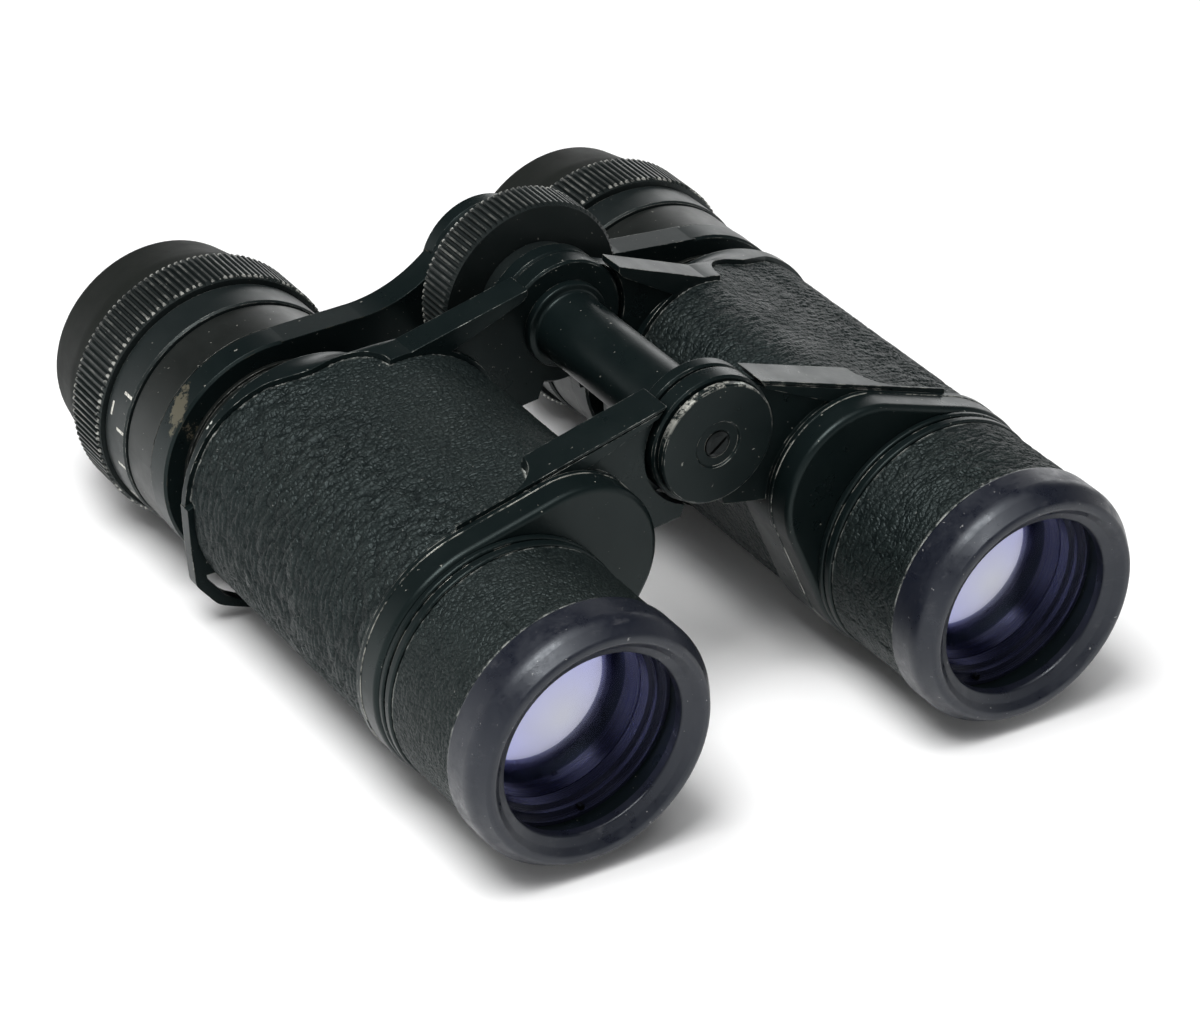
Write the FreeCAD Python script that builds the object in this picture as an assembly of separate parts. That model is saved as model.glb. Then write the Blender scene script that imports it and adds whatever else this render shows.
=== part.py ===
import FreeCAD, Part
import math
import os

# Roof-prism binoculars with a centre focus wheel, millimetres.
# Frame: +Z up, the two optical axes run along Y with the objectives at -Y, +X is the user's left.
# The origin is at the middle of the footprint, on the surface that the knurled rings rest on.
# "Station" is the distance behind the front face of the objective bumpers.

# ---- driving dimensions ----
LENGTH = 120.8
BARREL_SPACING = 69.3
HINGE_RISE = 21.3
KNURL_RADIUS = 19.35
WALL = 1.7
LEATHER = 0.58
SLIDE_FIT = 0.05

# ---- places of the two barrels and of the hinge ----
BARREL_X = BARREL_SPACING / 2
BARREL_Z = KNURL_RADIUS
HINGE_Z = BARREL_Z + HINGE_RISE

# ---- prism housing: outline is the hull of a large circle and a small one nearer the hinge ----
SMALL_X = 23.07
SMALL_Z = HINGE_Z - 11.62
RIM_RADIUS = 18.6
RIM_SMALL_RADIUS = 12.6
SKIN_DROP = 0.67
COVER_FRONT = 24.5
BODY_FRONT = 29.05
SHOULDER = 70.1
LEATHER_REAR = 76.2
BODY_REAR = 77.2

# ---- hinge arms: the front pair is square to the hinge, the rear pair slants ----
ARM_PLANE_RADIUS = 19.3
ARM_THICK = 1.0
ARM_INNER_X = 7.5
ARM_ROOT_X = 26.0
ARM_DEPTH = 5.5
REAR_ARM_INNER = 63.4
REAR_ARM_ROOT = 66.2
REAR_ARM_DEPTH = 4.3
REAR_ARM_TOP = HINGE_Z + 7.7
REAR_ROOT_DROP = 0.45
WEB_FRONT = 29.6
WEB_BOTTOM = 11.4
WEB_EDGE_ANGLE = 17.0
HUB_CLEARANCE_RADIUS = 10.1

# ---- hinge, front to back: disc, washer, four lugs with the tube between them ----
DISC_FRONT = 27.2
DISC_RADIUS = 8.85
WASHER_FRONT = 28.3
WASHER_RADIUS = 8.2
FRONT_LUG = 28.75
FRONT_LUG_SPLIT = 32.2
FRONT_LUG_REAR = 34.5
REAR_LUG = 65.3
REAR_LUG_SPLIT = 68.45
REAR_LUG_REAR = 71.2
LUG_GAP = 0.08
LUG_RADIUS = 9.4
LUG_BOSS_RADIUS = 8.8
LUG_BOSS = 0.45
TUBE_RADIUS = 5.2
AXLE_RADIUS = 3.4

# ---- focus wheel and bridge ----
WHEEL_FRONT = 73.8
WHEEL_REAR = 80.1
WHEEL_RADIUS = 14.3
WHEEL_TEETH = 90
WHEEL_HUB_RADIUS = 8.5
SPINDLE_RADIUS = 3.0
BRIDGE_FRONT = 83.25
BRIDGE_REAR = 87.7
BRIDGE_SPLIT = 85.95
BRIDGE_HUB_REAR = 88.8
BRIDGE_HUB_RADIUS = 9.3
BRIDGE_RING_RADIUS = 18.0
BRIDGE_BORE_RADIUS = 15.0

# ---- objective end ----
TUBE_OUTER = 17.27
TUBE_BORE = 14.9
BUMPER_REAR = 7.55
BUMPER_RADIUS = 18.26
APERTURE_RADIUS = 13.3
BASE_RING_FRONT = 21.8
CELL_BORE = 12.8
LENS_STATION = 10.4
LENS_RADIUS = CELL_BORE + 0.3

# ---- eyepiece end ----
SOCKET_BORE = 14.6
SCALE_FRONT = 95.05
KNURL_FRONT = 101.05
EYECUP_FRONT = 109.2
KNURL_TEETH = 120
NECK_RADIUS = 15.0
EYEPIECE_BORE = 13.0
OCULAR_BORE = 11.0

# ---- strap lug, placed from the barrel axis ----
STRAP_FRONT = 75.2
STRAP_REAR = BODY_REAR
STRAP_BAR = 1.7
STRAP_SLOT_TOP = 11.0

# ---- prisms ----
PRISM_APERTURE = 14.0
PRISM_HALF_WIDTH = 7.2
PRISM_FRONT = 38.0


def at(station):
    """Y coordinate of a station."""
    return station - LENGTH / 2


def on_plane(station):
    """Function that places a 2-D point (x, z) on the plane at a station."""
    def place(x, z):
        return FreeCAD.Vector(x, at(station), z)
    return place


def axial_section(x, z):
    """Function that places (station, radius) on the half plane beside the Y line through (x, z)."""
    def place(station, radius):
        return FreeCAD.Vector(x + radius, at(station), z)
    return place


def plan_point(x, station):
    """Point of a plan outline, below everything."""
    return FreeCAD.Vector(x, at(station), -5)


def rounded_wire(corners, place):
    """Closed wire through (u, v) or (u, v, radius) corners; a radius makes a tangent arc."""
    ends = []
    for i, corner in enumerate(corners):
        here = FreeCAD.Vector(corner[0], corner[1], 0)
        if len(corner) == 2:
            ends.append((here, None, here))
            continue
        before = corners[i - 1]
        after = corners[(i + 1) % len(corners)]
        back = (FreeCAD.Vector(before[0], before[1], 0) - here).normalize()
        ahead = (FreeCAD.Vector(after[0], after[1], 0) - here).normalize()
        half = back.getAngle(ahead) / 2
        reach = corner[2] / math.tan(half)
        bisector = (back + ahead).normalize()
        middle = here + bisector * (corner[2] / math.sin(half) - corner[2])
        ends.append((here + back * reach, middle, here + ahead * reach))
    edges = []
    for i, (start, middle, end) in enumerate(ends):
        if middle is not None:
            arc = Part.Arc(place(start.x, start.y), place(middle.x, middle.y), place(end.x, end.y))
            edges.append(arc.toShape())
        following = ends[(i + 1) % len(ends)][0]
        if (following - end).Length > 1e-6:
            edges.append(Part.makeLine(place(end.x, end.y), place(following.x, following.y)))
    return Part.Wire(edges)


def plate(corners, front, rear):
    """Flat piece with the given (x, z) outline between two stations."""
    face = Part.Face(rounded_wire(corners, on_plane(front)))
    return face.extrude(FreeCAD.Vector(0, rear - front, 0))


def turned(profile, x, z):
    """Solid turned about the Y line through (x, z); the profile is (station, radius[, round])."""
    face = Part.Face(rounded_wire(profile, axial_section(x, z)))
    return face.revolve(FreeCAD.Vector(x, 0, z), FreeCAD.Vector(0, 1, 0), 360)


def ring(front, rear, outer, inner, x=BARREL_X, z=BARREL_Z, bevel=0.25):
    """Turned ring with small bevels on its outer edges."""
    profile = [(front, inner), (front, outer - bevel), (front + bevel, outer)]
    profile += [(rear - bevel, outer), (rear, outer - bevel), (rear, inner)]
    return turned(profile, x, z)


def rod(front, rear, radius, x=0.0, z=HINGE_Z):
    """Round rod along Y."""
    return Part.makeCylinder(radius, rear - front, FreeCAD.Vector(x, at(front), z), FreeCAD.Vector(0, 1, 0))


def lens(front, rear, radius, front_bulge, rear_bulge):
    """Lens on the barrel axis: the stations are those of its rim, the bulges are outward."""
    place = axial_section(BARREL_X, BARREL_Z)

    def surface(station, bulge):
        curve = (radius ** 2 + bulge ** 2) / (2 * abs(bulge))
        half_sag = abs(bulge) - (curve - math.sqrt(curve ** 2 - (radius / 2) ** 2))
        sign = math.copysign(1.0, bulge)
        return Part.Arc(place(station, radius), place(station + sign * half_sag, radius / 2),
                        place(station + bulge, 0)).toShape()

    edges = [surface(front, -front_bulge), surface(rear, rear_bulge)]
    edges.append(Part.makeLine(place(front, radius), place(rear, radius)))
    edges.append(Part.makeLine(place(front - front_bulge, 0), place(rear + rear_bulge, 0)))
    face = Part.Face(Part.Wire(Part.__sortEdges__(edges)))
    return face.revolve(FreeCAD.Vector(BARREL_X, 0, BARREL_Z), FreeCAD.Vector(0, 1, 0), 360)


def knurled_ring(front, rear, outer, inner, teeth, x, z):
    """Ring with straight knurling: pointed teeth cut parallel to the axis, ends bevelled."""
    pitch = 2 * math.pi / teeth
    depth = 0.45
    points = []
    for tooth in range(teeth):
        for share, drop in ((0.0, 0.0), (0.28, 0.0), (0.5, depth), (0.78, depth)):
            angle = (tooth + share) * pitch - math.pi / 2
            reach = outer - drop
            corner_x = x + reach * math.cos(angle)
            corner_z = z + reach * math.sin(angle)
            points.append(FreeCAD.Vector(corner_x, at(front), corner_z))
    points.append(points[0])
    blank = Part.Face(Part.makePolygon(points)).extrude(FreeCAD.Vector(0, rear - front, 0))
    end_bevel = 0.5
    envelope = [(front, inner), (front, outer - end_bevel), (front + end_bevel, outer + 0.1)]
    envelope += [(rear - end_bevel, outer + 0.1), (rear, outer - end_bevel), (rear, inner)]
    return blank.common(turned(envelope, x, z))


def tangent_frame():
    """Unit vector from the large circle to the small one, its upper normal, and the tangent normals."""
    large = FreeCAD.Vector(BARREL_X, 0, BARREL_Z)
    small = FreeCAD.Vector(SMALL_X, 0, SMALL_Z)
    along = small - large
    distance = along.Length
    along.normalize()
    up = FreeCAD.Vector(-along.z, 0, along.x)
    if up.z < 0:
        up = up * -1
    share = (RIM_RADIUS - RIM_SMALL_RADIUS) / distance
    side = math.sqrt(1 - share ** 2)
    return large, along, distance, along * share + up * side, along * share - up * side


def housing_wire(station, offset=0.0, merge=0.0):
    """Outline of the prism housing; merge slides the small circle into the large one."""
    large, along, distance, upper, lower = tangent_frame()
    radius = RIM_RADIUS + offset
    small_radius = RIM_SMALL_RADIUS + merge * (RIM_RADIUS - RIM_SMALL_RADIUS) + offset
    small = large + along * (distance * (1 - merge))
    lift = FreeCAD.Vector(0, at(station), 0)
    big_arc = Part.Arc(large + upper * radius + lift, large - along * radius + lift,
                       large + lower * radius + lift)
    small_arc = Part.Arc(small + lower * small_radius + lift, small + along * small_radius + lift,
                         small + upper * small_radius + lift)
    low_line = Part.makeLine(large + lower * radius + lift, small + lower * small_radius + lift)
    top_line = Part.makeLine(small + upper * small_radius + lift, large + upper * radius + lift)
    return Part.Wire([big_arc.toShape(), low_line, small_arc.toShape(), top_line])


def housing_prism(front, rear, offset=0.0):
    """Straight length of the prism housing."""
    return Part.Face(housing_wire(front, offset)).extrude(FreeCAD.Vector(0, rear - front, 0))


def housing_solid(offset):
    """Housing from its front edge to its round rear rim, with the shoulder sweeping between."""
    straight = housing_prism(BODY_FRONT, SHOULDER, offset)
    sections = ((SHOULDER, 0.0), (71.8, 0.3), (73.6, 0.68), (75.4, 0.9), (BODY_REAR, 0.96))
    wires = [housing_wire(station, offset, merge) for station, merge in sections]
    return straight.fuse(Part.makeLoft(wires, True, False))


def plan_block(outline):
    """Tall block with a plan outline of (x, station) corners."""
    return Part.Face(rounded_wire(outline, plan_point)).extrude(FreeCAD.Vector(0, 0, 80))


def leather_zone():
    """Plan outline of the leather, seen from above: it stops round the roots of both arms."""
    front = BODY_FRONT + 0.25
    notch = front + ARM_DEPTH
    outline = [(70, front), (ARM_ROOT_X, front, 5.4), (ARM_ROOT_X, notch), (0, notch)]
    outline += [(0, REAR_ARM_INNER), (ARM_INNER_X, REAR_ARM_INNER), (ARM_ROOT_X, REAR_ARM_ROOT)]
    outline += [(27.2, REAR_ARM_ROOT + 0.2), (27.2, LEATHER_REAR - 3.7, 6.0)]
    outline += [(36.0, LEATHER_REAR - 3.3, 3.0), (41.5, LEATHER_REAR - 1.2, 3.0)]
    outline += [(49.0, LEATHER_REAR, 6.0), (70, LEATHER_REAR)]
    return plan_block(outline)


def arm_top(x, drop=0.0):
    """Height of the arms' top plane at x; the plane is tangent to the housing's large circle."""
    large, along, distance, normal, lower = tangent_frame()
    reach = ARM_PLANE_RADIUS - drop
    return BARREL_Z + (reach - normal.x * (x - BARREL_X)) / normal.z


def front_flange():
    """Sloping top plate of a front arm, from beside the hinge into the housing."""
    front = BODY_FRONT
    rear = BODY_FRONT + ARM_DEPTH
    outer_x = BARREL_X + 4.6
    corners = [(ARM_INNER_X, arm_top(ARM_INNER_X, ARM_THICK)), (ARM_INNER_X, arm_top(ARM_INNER_X))]
    corners += [(outer_x, arm_top(outer_x)), (outer_x, arm_top(outer_x, 4 * ARM_THICK))]
    corners += [(22.0, arm_top(22.0, 3 * ARM_THICK))]
    return plate(corners, front, rear).cut(rod(front - 1, rear + 1, HUB_CLEARANCE_RADIUS))


def rear_flange():
    """Top plate of a rear arm: steeper than the front one, and slanting backwards in plan."""
    root_top = arm_top(ARM_ROOT_X, ARM_PLANE_RADIUS - RIM_RADIUS + REAR_ROOT_DROP)
    outer_x = BARREL_X - 2.0
    outer_top = arm_top(outer_x, ARM_PLANE_RADIUS - RIM_RADIUS + REAR_ROOT_DROP)
    corners = [(ARM_INNER_X, REAR_ARM_TOP - ARM_THICK - 0.4), (ARM_INNER_X, REAR_ARM_TOP)]
    corners += [(ARM_ROOT_X, root_top), (outer_x, outer_top), (outer_x, outer_top - 4.0)]
    corners += [(22.0, root_top - 2.4)]
    section = plate(corners, REAR_ARM_INNER - 1, SHOULDER + 2)
    plan = [(0, REAR_ARM_INNER), (ARM_INNER_X, REAR_ARM_INNER), (ARM_ROOT_X, REAR_ARM_ROOT)]
    plan += [(45.0, REAR_ARM_ROOT), (45.0, REAR_ARM_ROOT + REAR_ARM_DEPTH)]
    plan += [(ARM_ROOT_X, REAR_ARM_ROOT + REAR_ARM_DEPTH), (ARM_INNER_X, REAR_ARM_INNER + REAR_ARM_DEPTH)]
    plan += [(0, REAR_ARM_INNER + REAR_ARM_DEPTH)]
    flange = section.common(plan_block(plan))
    return flange.cut(rod(REAR_ARM_INNER - 1, SHOULDER + 3, HUB_CLEARANCE_RADIUS))


def arm_web(front, rear, reach_x=ARM_INNER_X):
    """Upright wall under an arm, from the housing towards the hinge; its lower corner is radial."""
    edge = math.radians(WEB_EDGE_ANGLE)
    low_x = WEB_BOTTOM * math.tan(edge)
    corners = [(24.0, HINGE_Z - WEB_BOTTOM - 6.0), (13.5, HINGE_Z - WEB_BOTTOM - 1.6, 4.0)]
    corners += [(low_x, HINGE_Z - WEB_BOTTOM), (low_x * 0.5, HINGE_Z - WEB_BOTTOM * 0.5)]
    corners += [(reach_x * 0.5, HINGE_Z), (reach_x, arm_top(reach_x, ARM_THICK))]
    corners += [(24.0, arm_top(24.0, 1.5 * ARM_THICK))]
    return plate(corners, front, rear)


def web_wall(front, rear):
    """Web with the round clearance that the hinge turns in."""
    return arm_web(front, rear).cut(rod(front - 1, rear + 1, HUB_CLEARANCE_RADIUS))


def lug(front, rear):
    """Round hinge lug."""
    return ring(front, rear, LUG_RADIUS, 0.5, 0.0, HINGE_Z, 0.3)


def lug_web(front, rear):
    """Web that runs right into a lug."""
    return arm_web(front, rear).cut(rod(front - 1, rear + 1, LUG_RADIUS * 0.6))


def gusset(front, rear):
    """Rib that ties a lug to the arm beside it, out of sight under the arm's flange."""
    corners = [(3.0, HINGE_Z - 7.4), (13.0, HINGE_Z - 9.5), (20.0, HINGE_Z - 9.0)]
    corners += [(20.0, HINGE_Z + 0.4), (13.0, HINGE_Z + 2.6), (3.0, HINGE_Z + 5.5)]
    return plate(corners, front, rear)


def right_hinge_metal():
    """Arms and lugs of the right barrel: the two inner lugs. Built on the +X side."""
    inner_lug = FRONT_LUG_SPLIT + LUG_GAP
    front = front_flange().fuse(web_wall(WEB_FRONT, inner_lug + 0.5))
    front = front.fuse([gusset(inner_lug, FRONT_LUG_REAR), lug(inner_lug, FRONT_LUG_REAR)])
    rear = rear_flange().fuse([lug(REAR_LUG, REAR_LUG_SPLIT), lug_web(REAR_LUG, REAR_LUG_SPLIT - 0.4)])
    return front, rear


def left_hinge_metal():
    """Arms and lugs of the left barrel: the two outer lugs, the front one with a low boss behind."""
    face = FRONT_LUG_SPLIT - LUG_BOSS
    boss = ring(face - 0.5, FRONT_LUG_SPLIT, LUG_BOSS_RADIUS, 0.5, 0.0, HINGE_Z, 0.1)
    front = front_flange().fuse([lug(FRONT_LUG, face), boss, lug_web(WEB_FRONT, face)])
    inner_lug = REAR_LUG_SPLIT + LUG_GAP
    rear = rear_flange().fuse([lug(inner_lug, REAR_LUG_REAR), lug_web(inner_lug, REAR_LUG_REAR - 0.4)])
    rear = rear.fuse(web_wall(REAR_LUG, inner_lug))
    return front, rear


def body_casting(hinge_metal):
    """Cast housing with its hinge arms, hollow, and recessed where the leather lies."""
    shell = housing_solid(0.0)
    zone = leather_zone().fuse(strap_lug_blank(0.03, STRAP_FRONT, STRAP_REAR + 1))
    pocket = housing_solid(1.5).cut(housing_solid(-SKIN_DROP - LEATHER)).common(zone)
    front, rear = hinge_metal
    casting = shell.fuse([front, rear]).cut(pocket)
    cavity = housing_prism(BODY_FRONT - 1, SHOULDER - WALL, -SKIN_DROP - LEATHER - WALL)
    cavity = cavity.fuse(rod(BODY_FRONT, BODY_REAR + 1, SOCKET_BORE + 1.0, BARREL_X, BARREL_Z))
    casting = casting.cut(cavity)
    bore = rod(FRONT_LUG - 1, REAR_LUG_REAR + 1, AXLE_RADIUS + SLIDE_FIT)
    bead = housing_groove()
    return casting.cut([bore, bead])


def housing_groove():
    """Fine groove along the front edge of the front arm."""
    depth = 0.3
    top = 0.36
    low = 0.6
    inner = ARM_INNER_X - 1
    outer = 30.0
    corners = [(inner, arm_top(inner, low)), (inner, arm_top(inner, top))]
    corners += [(outer, arm_top(outer, top)), (outer, arm_top(outer, low))]
    return plate(corners, BODY_FRONT - 0.1, BODY_FRONT + depth)


def body_leather():
    """Leather wrapped round the housing, cut out round the arm roots and the strap lug."""
    wrap = housing_solid(-SKIN_DROP).cut(housing_solid(-SKIN_DROP - LEATHER)).common(leather_zone())
    return wrap.cut(strap_lug_blank(0.25, STRAP_FRONT - 0.2, STRAP_REAR + 0.2))


def strap_lug_corners(grow):
    """Outline of the strap lug round the barrel axis, grown outwards by a margin."""
    corners = [(15.0, 2.0 + grow), (18.72 + grow, 0.2 + grow), (18.0 + grow, -7.4)]
    corners += [(17.25 + grow, -12.4 - 0.4 * grow, 2.5), (13.7 + 0.7 * grow, -16.5 - 0.7 * grow, 5.0)]
    corners += [(7.2 - grow, -18.9 - grow), (5.2 - grow, -16.5), (10.0, -8.0)]
    return [(BARREL_X + corner[0], BARREL_Z + corner[1], *corner[2:]) for corner in corners]


def strap_lug_blank(grow, front, rear):
    """Strap lug without its slot."""
    return plate(strap_lug_corners(grow), front, rear)


def strap_lug():
    """Flat loop at the lower outer side of the rear rim; the strap goes through its slot."""
    front = STRAP_FRONT - 1
    rear = STRAP_REAR + 1
    seat = RIM_RADIUS - SKIN_DROP - LEATHER + 0.02
    loop = strap_lug_blank(0.0, STRAP_FRONT, STRAP_REAR).cut(rod(front, rear, seat, BARREL_X, BARREL_Z))
    inner = plate(strap_lug_corners(-STRAP_BAR), front, rear)
    top = BARREL_Z - STRAP_SLOT_TOP
    low = BARREL_Z - 30
    window = [(BARREL_X + 2, low), (BARREL_X + 30, low), (BARREL_X + 30, top), (BARREL_X + 9.0, top)]
    return loop.cut(inner.common(plate(window, front, rear)))


def front_cover():
    """Cap over the front of the prism housing, bored for the objective tube."""
    outer = housing_prism(COVER_FRONT, BODY_FRONT, -0.1)
    front_edges = [e for e in outer.Edges if abs(e.CenterOfMass.y - at(COVER_FRONT)) < 1e-3]
    outer = outer.makeFillet(0.9, front_edges)
    lip = housing_prism(BODY_FRONT - 0.7, BODY_FRONT, 0.0)
    hollow = housing_prism(COVER_FRONT + WALL, BODY_FRONT + 1, -2.5)
    bore = rod(COVER_FRONT - 1, BODY_FRONT + 1, TUBE_BORE + 0.7, BARREL_X, BARREL_Z)
    return outer.fuse(lip).cut([hollow, bore])


def objective_tube():
    """Tube in front of the cover: leather seat, base ring, and a neck into the cover."""
    profile = [(3.0, TUBE_BORE), (3.0, TUBE_OUTER), (BASE_RING_FRONT, TUBE_OUTER)]
    profile += [(BASE_RING_FRONT, 18.1, 0.3), (23.1, 18.1, 0.3), (23.1, 17.6), (23.5, 17.6)]
    profile += [(23.5, 18.15, 0.3)]
    profile += [(COVER_FRONT, 18.15, 0.3), (COVER_FRONT, TUBE_BORE + 0.65), (27.6, TUBE_BORE + 0.65)]
    profile += [(27.6, TUBE_BORE - 1.4), (20.0, TUBE_BORE - 1.4), (20.0, TUBE_BORE)]
    return turned(profile, BARREL_X, BARREL_Z)


def tube_leather():
    """Leather band round the objective tube."""
    outer = RIM_RADIUS - SKIN_DROP - 0.08
    profile = [(BUMPER_REAR + 0.1, TUBE_OUTER), (BUMPER_REAR + 0.1, outer, 0.2)]
    profile += [(BASE_RING_FRONT - 0.05, outer, 0.2), (BASE_RING_FRONT - 0.05, TUBE_OUTER)]
    return turned(profile, BARREL_X, BARREL_Z)


def bumper():
    """Rounded ring over the front of the objective tube, with a shallow groove round its face."""
    profile = [(3.0, APERTURE_RADIUS), (1.7, APERTURE_RADIUS, 0.5), (0.9, 14.6, 1.4), (0.0, 15.6, 0.7)]
    profile += [(0.0, 16.6, 0.8), (2.6, BUMPER_RADIUS, 3.2), (BUMPER_REAR, BUMPER_RADIUS, 0.5)]
    profile += [(BUMPER_REAR, TUBE_OUTER), (3.0, TUBE_OUTER)]
    return turned(profile, BARREL_X, BARREL_Z)


def objective_cell():
    """Sleeve that holds both objective lenses, screwed into the tube."""
    outer = TUBE_BORE - SLIDE_FIT
    profile = [(LENS_STATION, LENS_RADIUS), (LENS_STATION, outer), (17.6, outer)]
    profile += [(17.6, 11.2), (16.6, 11.2), (16.6, LENS_RADIUS)]
    return turned(profile, BARREL_X, BARREL_Z)


def objective_retainer():
    """Stepped ring in front of the objective lens."""
    outer = TUBE_BORE - SLIDE_FIT
    profile = [(6.6, 14.3), (6.6, outer), (LENS_STATION, outer), (LENS_STATION, CELL_BORE)]
    profile += [(8.8, CELL_BORE + 0.15), (8.8, 13.5), (7.6, 13.5), (7.6, 14.3)]
    return turned(profile, BARREL_X, BARREL_Z)


def retainer_screw():
    """Small set screw on the step of the retainer, low on the side next to the hinge."""
    angle = math.radians(-100)
    reach = 13.85
    x = BARREL_X + reach * math.cos(angle)
    z = BARREL_Z + reach * math.sin(angle)
    head = rod(6.8, 7.6, 0.42, x, z)
    slot = Part.makeBox(2.0, 0.4, 0.16, FreeCAD.Vector(x - 1.0, at(6.7), z - 0.08))
    return head.cut(slot)


def prism_place(w, h, station):
    """Point in the prism block: w across it, h towards the small circle, from the barrel axis."""
    large, along, distance, upper, lower = tangent_frame()
    across = FreeCAD.Vector(along.z, 0, -along.x)
    return large + along * h + across * w + FreeCAD.Vector(0, at(station), 0)


def prism_block(outline):
    """Glass block with a (station, h) outline, as wide as the prism pair."""
    points = [prism_place(-PRISM_HALF_WIDTH, h, station) for station, h in outline]
    points.append(points[0])
    sweep = prism_place(PRISM_HALF_WIDTH, 0, 0) - prism_place(-PRISM_HALF_WIDTH, 0, 0)
    return Part.Face(Part.makePolygon(points)).extrude(sweep)


def half_penta_prism():
    """First prism: light enters square, reflects twice and leaves through the 45 degree face."""
    a = PRISM_APERTURE
    outline = [(0, -a / 2), (0, a / 2), (a, 0.914 * a), (1.207 * a, 0.707 * a)]
    return prism_block([(PRISM_FRONT + y, h) for y, h in outline])


def roof_prism():
    """Second prism: 45 degree block whose far side is ground to a right-angled roof."""
    a = PRISM_APERTURE
    top = (1.72 * a, 1.0 * a)
    entry = (0.5 * a + 1.0, -0.22 * a)
    foot = (1.72 * a, -0.64 * a)
    outline = [entry, (top[0] - 2.0, top[1] - 2.0), (top[0], top[1] - 2.0), foot]
    block = prism_block([(PRISM_FRONT + y, h) for y, h in outline])
    w = PRISM_HALF_WIDTH + 0.5
    run = FreeCAD.Vector(foot[0] - entry[0], foot[1] - entry[1], 0).normalize()
    inward = FreeCAD.Vector(-run.y, run.x, 0)
    section = ((0, 0), (w, w), (w, 40), (-w, 40), (-w, w))
    back_y = PRISM_FRONT + entry[0] - run.x * 20
    back_h = entry[1] - run.y * 20
    points = []
    for side, depth in section + section[:1]:
        points.append(prism_place(side, back_h + inward.y * depth, back_y + inward.x * depth))
    sweep = prism_place(0, run.y * 70, run.x * 70) - prism_place(0, 0, 0)
    return block.common(Part.Face(Part.makePolygon(points)).extrude(sweep))


def prism_cage():
    """Frame that carries the prisms: end plates with light holes, joined by two side plates."""
    gap = -SKIN_DROP - LEATHER - WALL - SLIDE_FIT
    front_plate = housing_prism(PRISM_FRONT - 1.6, PRISM_FRONT, gap)
    rear_end = PRISM_FRONT + 1.72 * PRISM_APERTURE
    rear_plate = housing_prism(rear_end, rear_end + 1.6, gap)
    cage = front_plate.fuse(rear_plate)
    for side in (-1, 1):
        inner = side * (PRISM_HALF_WIDTH + 0.05)
        outer = side * (PRISM_HALF_WIDTH + 1.25)
        outline = [(inner, -7), (outer, -7), (outer, 12), (inner, 12), (inner, -7)]
        corners = [prism_place(w, h, PRISM_FRONT - 1) for w, h in outline]
        length = rear_end - PRISM_FRONT + 2
        cage = cage.fuse(Part.Face(Part.makePolygon(corners)).extrude(FreeCAD.Vector(0, length, 0)))
    light = rod(PRISM_FRONT - 5, rear_end + 5, PRISM_APERTURE / 2 - 0.2, BARREL_X, BARREL_Z)
    return cage.cut(light.cut(rod(PRISM_FRONT, rear_end, 20, BARREL_X, BARREL_Z)))


def rear_cover():
    """Stepped cover behind the rim; its sleeve is the slide of the eyepiece."""
    profile = [(69.0, SOCKET_BORE), (69.0, SOCKET_BORE + 0.95), (BODY_REAR, SOCKET_BORE + 0.95)]
    profile += [(BODY_REAR, 17.7, 0.2), (78.3, 17.7, 0.2), (78.3, 17.1), (79.3, 17.1, 0.2)]
    profile += [(79.3, 16.4), (80.2, 16.4, 0.2), (80.2, SOCKET_BORE)]
    return turned(profile, BARREL_X, BARREL_Z)


def eyepiece_tube():
    """Sliding tube of the eyepiece, with the drum behind the bridge and the neck of the eyecup."""
    profile = [(70.5, EYEPIECE_BORE), (70.5, SOCKET_BORE - SLIDE_FIT), (82.7, SOCKET_BORE - SLIDE_FIT)]
    profile += [(82.7, BRIDGE_BORE_RADIUS), (BRIDGE_REAR, BRIDGE_BORE_RADIUS), (BRIDGE_REAR, 17.85)]
    profile += [(94.6, 17.85, 0.3), (94.9, 17.4), (94.9, NECK_RADIUS), (EYECUP_FRONT, NECK_RADIUS)]
    profile += [(EYECUP_FRONT, EYEPIECE_BORE)]
    return turned(profile, BARREL_X, BARREL_Z)


def scale_ring(bore):
    """Smooth ring in front of the knurled one; on the right barrel it carries the dioptre marks."""
    profile = [(SCALE_FRONT, bore), (SCALE_FRONT, 18.0), (SCALE_FRONT + 0.3, 18.25), (100.6, 18.25)]
    profile += [(100.8, 17.9), (KNURL_FRONT, 17.9), (KNURL_FRONT, bore)]
    return turned(profile, BARREL_X, BARREL_Z)


def knurled_grip(bore):
    """Knurled grip ring of the eyepiece."""
    return knurled_ring(KNURL_FRONT, EYECUP_FRONT, KNURL_RADIUS, bore, KNURL_TEETH, BARREL_X, BARREL_Z)


def eyecup():
    """Hard eyecup: a tapered cup whose floor has the eye hole."""
    profile = [(EYECUP_FRONT, 9.6), (EYECUP_FRONT, 17.85, 0.2), (112.6, 17.75, 6.0), (LENGTH, 16.3, 1.6)]
    profile += [(LENGTH, 13.9, 0.7), (116.0, 13.3, 1.0), (111.4, 11.6, 1.0), (110.9, 9.6, 0.3)]
    return turned(profile, BARREL_X, BARREL_Z)


def ocular_cell():
    """Sleeve that carries the eyepiece lenses and slides inside the eyepiece tube."""
    outer = EYEPIECE_BORE - SLIDE_FIT
    profile = [(88.6, OCULAR_BORE), (88.6, outer), (107.9, outer), (107.9, 9.7)]
    profile += [(107.2, 9.7), (107.2, OCULAR_BORE)]
    return turned(profile, BARREL_X, BARREL_Z)


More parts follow.
